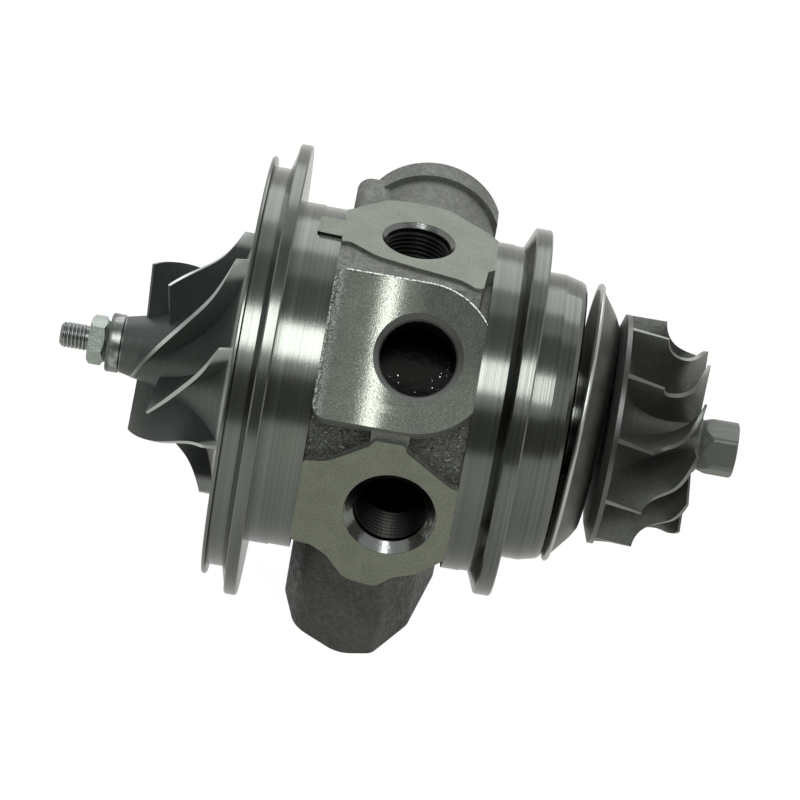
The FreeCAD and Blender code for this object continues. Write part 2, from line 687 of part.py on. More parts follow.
def thrust_bearing():
    """the bronze thrust plate, with its screw holes and the oil way at the bottom"""
    plate = tube(x_thrust_front, x_thrust_seat, sleeve_neck_radius + thrust_bore_clearance,
                 thrust_pocket_radius - insert_clearance)
    head_depth = thrust_screw_head - thrust_screw_radius
    cuts = [Part.makeBox(thrust_bearing_thickness + 2, 2 * oil_way_half, thrust_pocket_radius,
                         Vec(x_thrust_front - 1, -oil_way_half, -thrust_pocket_radius - slinger_radius + 1))]
    for x, y, z in screw_places():
        hole = bar(x_thrust_front - 1, x_thrust_seat + 1, thrust_screw_radius + screw_clearance)
        sink = Part.makeCone(thrust_screw_head + screw_clearance, thrust_screw_radius + screw_clearance, head_depth,
                             Vec(x_thrust_front, 0, 0), SHAFT)
        cuts.append(hole.fuse(sink).translated(Vec(0, y, z)))
    return plate.cut(cuts)


def thrust_bearing_screws():
    """the three countersunk screws of the thrust bearing"""
    head_depth = thrust_screw_head - thrust_screw_radius
    screws = []
    for x, y, z in screw_places():
        head = Part.makeCone(thrust_screw_head, thrust_screw_radius, head_depth, Vec(x_thrust_front, 0, 0), SHAFT)
        shank = bar(x_thrust_front + head_depth / 2, x_thrust_front + thrust_screw_length, thrust_screw_radius - 0.02)
        screws.append(head.fuse(shank).translated(Vec(0, y, z)))
    return Part.makeCompound(screws)


def oil_deflector():
    """the thin dished plate that turns the oil away from the seal, its tongue pointing down"""
    outer = thrust_pocket_radius - insert_clearance
    rim = outer - 1.4
    back = x_insert_seat + deflector_thickness
    plate = turned([(x_insert_seat, sleeve_flange_radius + 0.4), (x_insert_seat, outer), (x_thrust_front, outer),
                    (x_thrust_front, rim), (back, rim), (back, sleeve_flange_radius + 0.4)])
    return plate.cut(Part.makeBox(x_thrust_front - back, 2 * oil_way_half, outer,
                                  Vec(back, -oil_way_half, -outer - slinger_radius + 1)))


def seal_insert():
    """the cast cover behind the compressor wheel, grooved for its o-ring"""
    outer = insert_radius - insert_clearance
    x_front = x_recess + snap_lead + snap_groove_width - 0.05
    middle = (x_front + x_insert_seat) / 2
    half = o_ring_section * 0.65
    floor = insert_radius - o_ring_section
    return turned([(x_insert_seat, sleeve_seal_radius + seal_bore_clearance), (x_insert_seat, outer),
                   (middle + half, outer), (middle + half, floor), (middle - half, floor), (middle - half, outer),
                   (x_front, outer), (x_front, snap_ring_inner - 0.8), (x_recess + 0.2, snap_ring_inner - 1.2),
                   (x_recess + 0.2, sleeve_seal_radius + seal_bore_clearance)])


def insert_o_ring():
    """the o-ring between the insert and the housing"""
    x_front = x_recess + snap_lead + snap_groove_width - 0.05
    middle = (x_front + x_insert_seat) / 2
    section = o_ring_section / 2
    corner = (section - 0.01) / math.cos(math.radians(22.5))
    angles = [math.radians(22.5 + 45 * n) for n in range(8)]
    return turned([(middle + corner * math.cos(a), insert_radius - section + corner * math.sin(a)) for a in angles])


def insert_snap_ring():
    """the large internal snap ring that holds the insert"""
    start = x_recess + snap_lead + (snap_groove_width - snap_ring_thickness) / 2
    return split_ring(start, start + snap_ring_thickness, snap_ring_inner, insert_radius + snap_groove_depth - 0.05,
                      46, 0)


def heat_shield():
    """the loose dished plate behind the turbine wheel, leaning a little on the housing's spigot"""
    rim_back = shield_rim_station - shield_thickness / 2
    rim_front = shield_rim_station + shield_thickness / 2
    crown_front = shield_crown_station + shield_thickness / 2
    crown_back = shield_crown_station - shield_thickness / 2
    lip = spigot_radius + shield_lip_clearance
    knee = shield_radius - shield_rim_width
    curl = shield_thickness * 0.35
    shield = turned([(rim_back, knee), (rim_back, shield_radius - curl), (rim_back + curl, shield_radius),
                     (rim_front - curl, shield_radius), (rim_front, shield_radius - curl), (rim_front, knee + 0.2),
                     (crown_front - 1.0, shield_crown_radius + 1.2), (crown_front, shield_crown_radius - 0.6),
                     (crown_front, lip), (crown_back - shield_lip_length, lip),
                     (crown_back - shield_lip_length, lip + shield_thickness), (crown_back, lip + shield_thickness),
                     (crown_back, shield_crown_radius - 1.0), (crown_back - 0.9, shield_crown_radius + 0.3)])
    return shield.rotated(Vec(shield_crown_station - 1.5, 0, 0), outward(shield_lean_angle) * -1, shield_tilt)


rings, bushes = bush_stations()
save("bearing_housing", bearing_housing())
save("heat_shield", heat_shield())
save("turbine_wheel", turbine_wheel())
save("rotor_shaft", rotor_shaft())
save("compressor_wheel", compressor_wheel())
save("compressor_nut", compressor_nut())
save("journal_bearing_compressor_side", journal_bearing(bushes[0]))
save("journal_bearing_turbine_side", journal_bearing(bushes[1]))
for n, station in enumerate(rings):
    save("bearing_retaining_ring_%d" % (n + 1),
         split_ring(station + retainer_play, station + retainer_width - retainer_play, retainer_inner,
                    retainer_outer - retainer_play, 40, 90))
save("thrust_ring", thrust_ring())
save("thrust_sleeve", thrust_sleeve())
save("thrust_bearing", thrust_bearing())
save("thrust_bearing_screws", thrust_bearing_screws())
save("oil_deflector", oil_deflector())
save("seal_insert", seal_insert())
save("insert_o_ring", insert_o_ring())
save("insert_snap_ring", insert_snap_ring())
for n, station in enumerate(sleeve_ring_grooves()):
    save("compressor_seal_ring_%d" % (n + 1),
         seal_ring(station, sleeve_seal_radius, sleeve_seal_radius + seal_bore_clearance - 0.01))
save("turbine_seal_ring",
     seal_ring(turbine_ring_groove()[0], seal_hub_radius - 0.4, turbine_seal_bore - 0.01))
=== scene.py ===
"""Turbo cartridge: the finish of every piece, the threads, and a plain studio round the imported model."""

import math

import bmesh
import bpy
from mathutils import Matrix, Vector


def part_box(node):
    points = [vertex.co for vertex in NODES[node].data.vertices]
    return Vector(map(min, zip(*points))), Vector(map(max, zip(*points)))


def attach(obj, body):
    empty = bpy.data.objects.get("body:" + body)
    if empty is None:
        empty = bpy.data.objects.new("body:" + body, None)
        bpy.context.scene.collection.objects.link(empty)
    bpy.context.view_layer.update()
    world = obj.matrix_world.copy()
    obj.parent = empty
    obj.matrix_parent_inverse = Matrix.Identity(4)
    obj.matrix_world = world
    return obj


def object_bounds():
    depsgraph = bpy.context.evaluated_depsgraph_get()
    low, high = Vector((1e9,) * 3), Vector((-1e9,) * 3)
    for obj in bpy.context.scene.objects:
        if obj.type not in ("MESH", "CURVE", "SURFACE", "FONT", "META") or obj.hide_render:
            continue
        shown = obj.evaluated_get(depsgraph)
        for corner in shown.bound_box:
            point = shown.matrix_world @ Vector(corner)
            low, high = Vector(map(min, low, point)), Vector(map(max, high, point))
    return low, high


bl_info = {
    "name": "Turbo Cartridge Finish",
    "version": (1, 0, 0),
    "blender": (4, 5, 0),
    "location": "View3D > Sidebar > Cartridge",
    "description": "Metal finishes, threads and studio for a turbocharger cartridge",
    "category": "Object",
}

# X runs along the shaft with the compressor at -X, +Z is up, and the origin lies on the shaft
# axis in the turbine flange's mating face. Finishes work in millimetres of that frame.
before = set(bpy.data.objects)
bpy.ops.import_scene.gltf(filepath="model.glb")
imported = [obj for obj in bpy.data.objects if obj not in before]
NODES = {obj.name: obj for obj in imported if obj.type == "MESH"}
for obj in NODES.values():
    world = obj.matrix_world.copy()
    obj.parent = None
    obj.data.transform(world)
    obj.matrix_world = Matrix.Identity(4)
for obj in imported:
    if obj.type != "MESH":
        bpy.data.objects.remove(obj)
CAD_LOW, CAD_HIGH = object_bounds()
MM = 0.001
UP = Vector((0, 0, 1))
SHAFT = Vector((1, 0, 0))


def low(node):
    """the lowest corner of a node in millimetres"""
    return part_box(node)[0] / MM


def high(node):
    """the highest corner of a node in millimetres"""
    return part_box(node)[1] / MM


def outward(tilt):
    """the direction away from the shaft, at an angle that starts at -Y and grows towards +Z"""
    angle = math.radians(tilt)
    return Vector((0, -math.cos(angle), math.sin(angle)))


class Port:
    """a bored hole in a pad: its mouth's centre, its way out and its sizes in millimetres"""

    def __init__(self, x, across, tilt, height, radius, mouth):
        angle = math.radians(tilt)
        self.way = outward(tilt)
        self.side = Vector((0, math.sin(angle), math.cos(angle)))
        self.centre = Vector((x, 0, 0)) + self.side * across + self.way * height
        self.height = height
        self.radius = radius
        self.mouth = mouth


# The casting lies between two turned ends, its machined faces are flat pads, and a water jacket lies inside
CAST_START = -42.6
CAST_END = -11.0
JACKET_RADIUS = 29.0
OIL_INLET = Port(-27.2, 0, 90, 36.2, 6.65, 7.55)
ANGLED_PORT = Port(-23.5, 0, 42.7, 36.5, 7.65, 9.05)
NEAR_PORT = Port(-23.7, -7, 0, 36.2, 7.5, 9.4)
FAR_PORT = Port(-25.0, -19, 180, 39.0, 7.5, 9.4)
DRAIN = Port(-25.0, -2, 270, 50.0, 8.0, 8.0)
# Each pad's brightness and roughness
PAD_FINISHES = ((OIL_INLET, 1.0, 0.5), (ANGLED_PORT, 0.95, 0.2), (NEAR_PORT, 0.95, 0.5),
                (FAR_PORT, 1.0, 0.46), (DRAIN, 1.0, 0.46))
# How far a pad's finish reaches above and below its face, and a bore's finish outside its wall
FACE_SLACK = 0.12
# The length of the thread in each threaded port
PORT_THREADS = (("oil_inlet_thread", OIL_INLET, 13.0), ("near_port_thread", NEAR_PORT, 12.0),
                ("far_port_thread", FAR_PORT, 12.0))
# How bright those threads are against the turned ends: painted shade, for they lie inside the bores
THREAD_SHADE = 0.16

# The angled pad ends in a half circle of this radius. It is sanded a little round, so it shines in one band:
# the band's place, the roundness per millimetre, and how far from the band the pad stays round.
SANDED_PAD_RADIUS = 15.5
SANDED_BAND = -30.8
SANDED_CROWN = 0.022
SANDED_REACH = 8.0
# What old coolant has done to the near pad's colour
COOLANT_STAIN = (1.05, 1.05, 0.97)
# The web between the angled and near pads has a corner that stands a little proud and is finished like the
# angled pad: the bounds of its two small faces, and the slope that turns their shading to the pad's
WEB_CORNER_X = (-36.0, -18.0)
WEB_CORNER_Z = (15.4, 17.4)
WEB_CORNER_SLOPE = 1.42

# The compressor wheel's shroud line: how far it starts before the wheel's back, its length along the shaft,
# its radius at the start, and how far and how sharply it rises
SHROUD_BEFORE_BACK = 21.2
SHROUD_LENGTH = 17.1
SHROUD_RADIUS = 17.95
SHROUD_RISE = 9.0
SHROUD_POWER = 4.5
# On the turbine wheel: the radius beyond which the blades' edges are rubbed, the disc's front and the nose
TURBINE_RUBBED = 18.6
TURBINE_DISC_FRONT = 19.3
TURBINE_NOSE = 38.0
# The heat shield is flat and rubbed outside this radius
SHIELD_RIM = 28.1

# The stud's thread starts a little behind its tip, and a little of the stud's length stays plain
STUD_RADIUS = 2.5
STUD_POINT = 0.35
STUD_PLAIN = 0.4
# A thread's form: the sides of a turn, the shares of the pitch that its foot and its crest take, and how far
# its foot is sunk into the wall, as a share of its height
THREAD_SIDES = 56
FOOT_SHARE = 0.96
CREST_SHARE = 0.14
SUNK_SHARE = 0.12

# Each lamp's width, height, azimuth, elevation and distance, in metres and degrees
KEY_LAMP = (0.24, 0.42, -2.0, 52.0, 1.1)
TOP_LAMP = (1.6, 0.9, 180.0, 42.0, 1.4)
# The floor's glow, and how much of it the camera and the metal see in place of the matte white. Then the
# floor's half width, and how far it lies below the cartridge, in metres.
FLOOR_GLOW = 1.06
FLOOR_SEEN = 0.93
FLOOR_MIRRORED = 0.5
FLOOR_HALF = 12.0
FLOOR_GAP = 0.0002
# The world's brightness where neither the camera nor the metal looks
WORLD_FILL = 0.58
# The standing cards: azimuths, lowest and highest elevation, width, distance and tone
CARD_AZIMUTHS = (-60.0, 0.0, 60.0)
CARD_ELEVATIONS = (-3.0, 30.0)
CARD_WIDTH = 2.4
CARD_DISTANCE = 2.0
CARD_TONE = (0.16, 0.165, 0.15)
# The overhead card: its bounds along X and Y, its level and its tone
OVERHEAD_X = (-1.4, 1.4)
OVERHEAD_Y = (-0.85, 0.3)
OVERHEAD_LEVEL = 2.0
OVERHEAD_TONE = (0.34, 0.35, 0.33)


class StudioSettings(bpy.types.PropertyGroup):
    """where the camera stands and how bright the studio is"""

    target: bpy.props.FloatVectorProperty(
        name="Target", description="Point that the camera looks at", subtype="XYZ", unit="LENGTH",
        default=(-0.0252, -0.0008, -0.00133))
    distance: bpy.props.FloatProperty(
        name="Distance", description="Camera to target", unit="LENGTH", default=0.75)
    elevation: bpy.props.FloatProperty(
        name="Elevation", description="Camera above the horizon", unit="ROTATION", default=math.radians(31))
    azimuth: bpy.props.FloatProperty(
        name="Azimuth", description="Camera's turn about the vertical", unit="ROTATION",
        default=math.radians(0.8))
    roll: bpy.props.FloatProperty(
        name="Roll", description="Camera's turn about its own line of sight", unit="ROTATION",
        default=math.radians(10.3))
    lens: bpy.props.FloatProperty(
        name="Lens", description="Focal length on a 36 mm sensor", unit="CAMERA", default=162)
    key_radiance: bpy.props.FloatProperty(
        name="Key brightness", description="Brightness of the front lamp's face", default=7.4)
    top_radiance: bpy.props.FloatProperty(
        name="Back brightness", description="Brightness of the rear lamp's face", default=1.4)
    white: bpy.props.FloatVectorProperty(
        name="Background", description="Colour of the floor and the background", subtype="COLOR",
        default=(0.87, 0.885, 0.77))


class FinishSettings(bpy.types.PropertyGroup):
    """the metals' colours"""

    cast: bpy.props.FloatVectorProperty(
        name="Casting", description="Sand-cast skin of the housing", subtype="COLOR",
        default=(0.13, 0.138, 0.123))
    milled: bpy.props.FloatVectorProperty(
        name="Milled pads", description="Milled faces of the housing", subtype="COLOR",
        default=(0.205, 0.222, 0.19))
    turned: bpy.props.FloatVectorProperty(
        name="Turned steel", description="Turned ends of the housing", subtype="COLOR",
        default=(0.15, 0.16, 0.145))
    alloy: bpy.props.FloatVectorProperty(
        name="Compressor alloy", description="Cast wheel skin", subtype="COLOR",
        default=(0.096, 0.112, 0.103))
    # Besides cut edges, this colour paints highlights: glints, an edge highlight and blade-tip flares
    bright: bpy.props.FloatVectorProperty(
        name="Cut edges", description="Edges left bright by the tool", subtype="COLOR",
        default=(0.42, 0.44, 0.42))
    nickel: bpy.props.FloatVectorProperty(
        name="Turbine alloy", description="Heat-resistant cast wheel", subtype="COLOR",
        default=(0.13, 0.138, 0.125))
    zinc: bpy.props.FloatVectorProperty(
        name="Plated nut", description="Plating of the nut", subtype="COLOR", default=(0.30, 0.34, 0.31))
    shield: bpy.props.FloatVectorProperty(
        name="Shield steel", description="Pressed plate", subtype="COLOR", default=(0.10, 0.10, 0.092))
    shaft: bpy.props.FloatVectorProperty(
        name="Shaft steel", description="Ground shaft and stud", subtype="COLOR",
        default=(0.22, 0.235, 0.225))
    bronze: bpy.props.FloatVectorProperty(
        name="Bearing bronze", description="Bushes and thrust plate", subtype="COLOR",
        default=(0.50, 0.33, 0.14))
    rubber: bpy.props.FloatVectorProperty(
        name="Seal rubber", description="O-ring", subtype="COLOR", default=(0.012, 0.012, 0.012))


class ThreadSettings(bpy.types.PropertyGroup):
    """sizes of the threads"""

    port_pitch: bpy.props.FloatProperty(
        name="Port pitch", description="Pitch of the threads in the ports", unit="LENGTH", default=0.0012)
    port_depth: bpy.props.FloatProperty(
        name="Port depth", description="Height of the port threads", unit="LENGTH", default=0.00045)
    oil_pitch: bpy.props.FloatProperty(
        name="Oil pitch", description="Pitch of the oil inlet's thread", unit="LENGTH", default=0.001)
    stud_pitch: bpy.props.FloatProperty(
        name="Stud pitch", description="Pitch of the stud's thread", unit="LENGTH", default=0.0008)
    stud_depth: bpy.props.FloatProperty(
        name="Stud depth", description="Height of the stud's thread", unit="LENGTH", default=0.00022)


class Finish:
    """a procedural metal, built up of layers that each show where a mask says"""

    def __init__(self, name, colour, roughness):
        self.material = bpy.data.materials.new(name)
        self.material.use_nodes = True
        self.tree = self.material.node_tree
        self.tree.nodes.clear()
        source = self.tree.nodes.new("ShaderNodeTexCoord")
        self.place = self.vector("SCALE", source.outputs["Object"], scale=1 / MM)
        self.normal = source.outputs["Normal"]
        self.x, self.y, self.z = self.split(self.place)
        self.radius = self.hypotenuse(self.y, self.z)
        self.colour = self.shade(colour)
        self.roughness = roughness
        self.metallic = 1.0
        self.relief = 0.0

    def feed(self, socket, value):
        """links a socket to another, or sets its value"""
        if isinstance(value, bpy.types.NodeSocket):
            self.tree.links.new(value, socket)
        else:
            socket.default_value = value

    def math(self, operation, a, b=0.0, c=0.0, clamp=False):
        """a calculation with up to three values"""
        node = self.tree.nodes.new("ShaderNodeMath")
        node.operation = operation
        node.use_clamp = clamp
        for socket, value in zip(node.inputs, (a, b, c)):
            self.feed(socket, value)
        return node.outputs[0]

    def vector(self, operation, a, b=(0.0, 0.0, 0.0), scale=1.0):
        """a calculation with one or two vectors"""
        node = self.tree.nodes.new("ShaderNodeVectorMath")
        node.operation = operation
        self.feed(node.inputs[0], a)
        self.feed(node.inputs[1], b)
        if operation == "SCALE":
            self.feed(node.inputs["Scale"], scale)
        return node.outputs["Value" if operation in ("DOT_PRODUCT", "LENGTH") else "Vector"]

    def hypotenuse(self, a, b):
        """the long side of a right triangle"""
        return self.math("SQRT", self.math("ADD", self.times(a, a), self.times(b, b)))

    def split(self, value):
        """a vector's three parts"""
        node = self.tree.nodes.new("ShaderNodeSeparateXYZ")
        self.feed(node.inputs[0], value)
        return node.outputs[0], node.outputs[1], node.outputs[2]

    def join(self, x, y, z):
        """a vector of three parts"""
        node = self.tree.nodes.new("ShaderNodeCombineXYZ")
        for socket, value in zip(node.inputs, (x, y, z)):
            self.feed(socket, value)
        return node.outputs[0]

    def ramp(self, value, start, end, out_start=0.0, out_end=1.0):
        """a smooth step of a value between two others"""
        node = self.tree.nodes.new("ShaderNodeMapRange")
        node.interpolation_type = "SMOOTHSTEP"
        for socket, given in zip(node.inputs, (value, start, end, out_start, out_end)):
            self.feed(socket, given)
        return node.outputs[0]

    def noise(self, scale, place=None, detail=2.0, rough=0.5, stretch=None):
        """noise about 0.5, its scale in features per millimetre"""
        place = self.place if place is None else place
        if stretch:
            place = self.vector("MULTIPLY", place, stretch)
        node = self.tree.nodes.new("ShaderNodeTexNoise")
        self.feed(node.inputs["Vector"], place)
        self.feed(node.inputs["Scale"], scale)
        self.feed(node.inputs["Detail"], detail)
        self.feed(node.inputs["Roughness"], rough)
        return node.outputs[0]

    def cells(self, scale):
        """distance to scattered points, for pits and grains"""
        node = self.tree.nodes.new("ShaderNodeTexVoronoi")
        self.feed(node.inputs["Vector"], self.place)
        self.feed(node.inputs["Scale"], scale)
        return node.outputs[0]

    def mix(self, a, b, mask):
        """a where the mask is 0 and b where it is 1"""
        node = self.tree.nodes.new("ShaderNodeMix")
        node.data_type = "FLOAT"
        self.feed(node.inputs[0], mask)
        self.feed(node.inputs[2], a)
        self.feed(node.inputs[3], b)
        return node.outputs[0]

    def shade(self, colour, by=None):
        """a colour, made lighter or darker by a value about 1"""
        if not isinstance(colour, bpy.types.NodeSocket):
            colour = (*tuple(colour)[:3], 1.0)
        if by is None:
            return colour
        plain = colour[:3] if isinstance(colour, tuple) else colour
        return self.vector("MULTIPLY", plain, self.join(by, by, by))

    def layer(self, mask, colour=None, roughness=None, relief=None, metallic=None):
        """lays a finish over what is there where the mask is 1"""
        if colour is not None:
            node = self.tree.nodes.new("ShaderNodeMix")
            node.data_type = "RGBA"
            self.feed(node.inputs[0], mask)
            self.feed(node.inputs[6], self.colour)
            self.feed(node.inputs[7], self.shade(colour))
            self.colour = node.outputs[2]
        if roughness is not None:
            self.roughness = self.mix(self.roughness, roughness, mask)
        if relief is not None:
            self.relief = self.mix(self.relief, relief, mask)
        if metallic is not None:
            self.metallic = self.mix(self.metallic, metallic, mask)

    def times(self, first, *others):
        """values multiplied together: with masks, 1 where all of them are 1"""
        for other in others:
            first = self.math("MULTIPLY", first, other)
        return first

    def within(self, value, start, end, soft=0.1):
        """1 where a value lies between two others"""
        rising = self.ramp(value, start - soft / 2, start + soft / 2)
        falling = self.ramp(value, end - soft / 2, end + soft / 2, 1.0, 0.0)
        return self.times(rising, falling)

    def facing(self, way, least=0.97):
        """1 where the surface faces a direction"""
        return self.ramp(self.along(self.normal, way), least - 0.01, least + 0.01)

    def along(self, value, way):
        """how far a vector goes in a direction"""
        return self.vector("DOT_PRODUCT", value, tuple(way))

    def rings(self, scale, detail=3.0):
        """the lines that a lathe leaves: they run round the shaft on cylinders and on faces"""
        return self.noise(scale, self.join(self.x, self.radius, 0.0), detail, 0.6)

    def done(self):
        """joins the layers into one shader"""
        bump = self.tree.nodes.new("ShaderNodeBump")
        bump.inputs["Strength"].default_value = 1.0
        bump.inputs["Distance"].default_value = MM
        self.feed(bump.inputs["Height"], self.relief)
        shader = self.tree.nodes.new("ShaderNodeBsdfPrincipled")
        self.feed(shader.inputs["Base Color"], self.colour)
        self.feed(shader.inputs["Roughness"], self.roughness)
        self.feed(shader.inputs["Metallic"], self.metallic)
        self.tree.links.new(bump.outputs[0], shader.inputs["Normal"])
        output = self.tree.nodes.new("ShaderNodeOutputMaterial")
        self.tree.links.new(shader.outputs[0], output.inputs["Surface"])
        return self.material


def dress(material, *names):
    """gives nodes their finish"""
    for name in names:
        slots = NODES[name].data.materials
        slots.clear()
        slots.append(material)


def sum_of(finish, *terms):
    """adds up (value, weight) pairs"""
    total = 0.0
    for value, weight in terms:
        total = finish.math("MULTIPLY_ADD", value, weight, total)
    return total


def cast_skin(f, colours):
    """sand-cast skin, with painted light making it lighter towards the top and painted shade making it
    darker towards the bottom
    """
    patchy = f.noise(0.09, detail=2.0)
    sand = f.noise(2.6, detail=3.0, rough=0.7)
    grain = sum_of(f, (f.ramp(patchy, 0.3, 0.7), 0.25), (f.ramp(sand, 0.35, 0.65), 0.5), (1.0, 0.62))
    # The height ramp is painted light towards the top and painted shade towards the bottom
    f.colour = f.shade(colours.cast, f.times(grain, f.ramp(f.z, -34.0, 18.0, 0.62, 1.3)))
    f.relief = sum_of(f, (sand, 0.07), (f.cells(1.6), 0.04), (f.noise(0.35), 0.12))
    f.metallic = 0.35
    f.roughness = f.ramp(f.noise(0.8, detail=3.0), 0.35, 0.65, 0.46, 0.66)


def wet_pockets(f, colours):
    """the rougher casting on both sides of the web, wet in patches, with painted glints as bright specks"""
    pocket = f.times(f.ramp(f.y, -27.5, -29.5), f.within(f.z, -4.0, 15.0, 2.0), f.ramp(f.radius, 36.0, 34.6))
    rubble = f.noise(1.5, detail=3.0, rough=0.75)
    wet = f.ramp(f.noise(1.1, detail=1.0), 0.5, 0.6)
    f.layer(pocket, f.shade(colours.cast, f.ramp(rubble, 0.3, 0.7, 0.6, 2.0)), f.mix(0.5, 0.14, wet),
            f.times(rubble, 0.9), 0.5)
    # Painted glints: bright specks of colour that stand in for highlights on the wet casting
    glints = f.times(pocket, wet, f.ramp(f.cells(1.5), 0.32, 0.2))
    f.layer(glints, f.shade(colours.bright, 1.7), 0.25, None, 0.3)


def turned_ends(f, colours):
    """the lathe's lines on both ends, with painted shade that darkens the underside and the turbine end
    beyond the casting
    """
    lines = f.rings(3.2)
    wide_lines = f.rings(0.9)
    turned = f.math("MAXIMUM", f.ramp(f.x, CAST_START + 0.05, CAST_START - 0.05),
                    f.ramp(f.x, CAST_END - 0.05, CAST_END + 0.05))
    streaks = sum_of(f, (lines, 0.5), (wide_lines, 0.5))
    # The tone holds random streaks, and painted shade lower down and beyond the casting
    tone = f.times(f.ramp(streaks, 0.34, 0.66, 0.82, 1.18),
                   f.ramp(f.x, CAST_END - 1.0, CAST_END + 1.0, 1.0, 0.88),
                   f.ramp(f.z, -32.0, 4.0, 0.76, 1.0))
    relief = sum_of(f, (lines, 0.013), (wide_lines, 0.006), (f.noise(3.4, detail=1.0), 0.004))
    f.layer(turned, f.shade(colours.turned, tone), f.ramp(lines, 0.3, 0.7, 0.16, 0.21), relief, 1.0)


def pad_face(f, port):
    """1 on a pad's flat face"""
    out = f.along(f.place, port.way)
    level = f.within(out, port.height - FACE_SLACK, port.height + FACE_SLACK, 0.06)
    return f.times(level, f.facing(port.way, 0.985))


def pad_tone(f, brightness):
    """a pad's patches and speckles"""
    patches = f.ramp(f.noise(0.2, detail=2.0), 0.3, 0.7, brightness * 0.94, brightness * 1.06)
    return f.times(patches, f.ramp(f.noise(2.4, detail=2.0, rough=0.8), 0.36, 0.64, 0.84, 1.1))


def pad_pits(f):
    """small pits in a pad"""
    return f.ramp(f.cells(1.1), 0.05, 0.16, -0.06, 0.0)


def milled_pad(f, colours, port, brightness, roughness):
    """a flat face with the mill's strokes"""
    strokes = f.noise(1.8, detail=2.0, stretch=(1.0, 0.35, 0.35))
    relief = sum_of(f, (strokes, 0.015), (pad_pits(f), 0.5))
    milled = colours.milled
    if port is NEAR_PORT:
        milled = f.vector("MULTIPLY", tuple(milled), COOLANT_STAIN)
    f.layer(pad_face(f, port), f.shade(milled, pad_tone(f, brightness)), roughness, relief, 1.0)


def sanded_pad(f, colours, port, brightness, roughness):
    """a face sanded a little round, gritty, with a painted highlight along its upper edge and painted shade
    on its upper right, and torn along its left one
    """
    face = pad_face(f, port)
    across = f.along(f.place, port.side)
    grit = f.noise(2.6, detail=2.0, rough=0.85)
    away = f.math("ABSOLUTE", f.math("ADD", f.x, -SANDED_BAND))
    round_part = f.math("MINIMUM", away, SANDED_REACH)
    run_out = f.math("SUBTRACT", f.times(away, 2.0), round_part)
    crown = f.times(round_part, run_out, -SANDED_CROWN)
    relief = sum_of(f, (crown, 1.0), (grit, 0.032), (pad_pits(f), 0.3))
    shaded_side = f.times(f.ramp(f.x, -27.0, -22.0), f.ramp(across, -7.0, 3.0))
    tone = f.times(pad_tone(f, brightness), f.mix(0.95, 0.6, shaded_side),
                   f.ramp(grit, 0.38, 0.62, 0.84, 1.16))
    f.layer(face, f.shade(colours.milled, tone), roughness, relief, 1.0)

    # A painted highlight, glittering, along the pad's upper edge
    beyond = f.math("MAXIMUM", f.math("ADD", f.x, -port.centre.x), 0.0)
    from_middle = f.hypotenuse(beyond, across)
    rim = f.ramp(from_middle, SANDED_PAD_RADIUS - 0.45, SANDED_PAD_RADIUS - 0.25)
    glitter = f.ramp(f.noise(2.0, detail=2.0), 0.38, 0.52, 0.35, 1.9)
    f.layer(f.times(face, rim, f.ramp(across, 1.0, 4.0)), f.shade(colours.bright, glitter), 0.4, 0.0, 0.3)

    torn = f.math("ADD", f.x, f.times(f.noise(0.9, detail=3.0), -2.2))
    burr = f.times(face, f.ramp(torn, CAST_START - 0.3, CAST_START - 0.7))
    f.layer(burr, f.shade(colours.milled, f.ramp(f.noise(2.6), 0.4, 0.6, 0.6, 1.9)), 0.3,
            f.times(f.noise(2.2, detail=2.0), 0.3))
    hammered = f.times(face, f.ramp(torn, CAST_START + 1.6, CAST_START + 0.2), f.ramp(grit, 0.42, 0.6))
    f.layer(hammered, f.shade(colours.bright, 1.1), 0.35, None, 0.5)

    out = f.along(f.place, port.way)
    rise = f.times(f.math("ADD", out, -port.height), -WEB_CORNER_SLOPE)
    corner = f.times(f.ramp(out, port.height - FACE_SLACK, port.height - FACE_SLACK / 2),
                     f.facing(-port.way, -0.97), f.within(f.x, *WEB_CORNER_X), f.within(f.z, *WEB_CORNER_Z))
    f.layer(corner, f.shade(colours.milled, tone), roughness, f.math("ADD", rise, relief), 1.0)


def bored_hole(f, colours, port):
    """a bore's wall, which painted shade darkens with depth, and the bevel at its mouth"""
    offset = f.vector("SUBTRACT", f.place, tuple(port.centre))
    depth = f.along(offset, port.way)
    sunk = f.vector("MULTIPLY", f.join(depth, depth, depth), tuple(port.way))
    spread = f.vector("LENGTH", f.vector("SUBTRACT", offset, sunk))
    wall = f.times(f.within(spread, -1.0, port.radius + FACE_SLACK, 0.06),
                   f.within(depth, -25.0, -0.05, 0.1))
    f.layer(wall, f.shade(colours.turned, f.ramp(depth, -9.0, -1.0, 0.15, 0.6)), 0.3,
            f.times(f.noise(1.2), 0.04), 1.0)
    bevel_depth = port.mouth - port.radius
    if bevel_depth == 0:
        return
    bevel = f.times(f.within(spread, port.radius + 0.06, port.mouth + 0.04, 0.05),
                    f.within(depth, -bevel_depth - 0.1, -0.03, 0.04))
    chatter = sum_of(f, (f.noise(0.9, f.join(depth, spread, 0.0)), 0.03), (f.noise(0.7), 0.06))
    if port is ANGLED_PORT:
        # The angled bevel's tone is painted light on its lower side and painted shade along its inner edge
        tone = f.times(f.ramp(f.along(f.place, port.side), -8.0, 8.0, 0.72, 0.24),
                       f.ramp(spread, port.radius + 0.3, port.radius + 0.42, 0.5, 1.0))
        f.layer(bevel, f.shade(colours.bright, tone), 0.36, chatter, 0.5)
    else:
        f.layer(bevel, f.shade(colours.bright, 0.42), 0.17, chatter, 1.0)


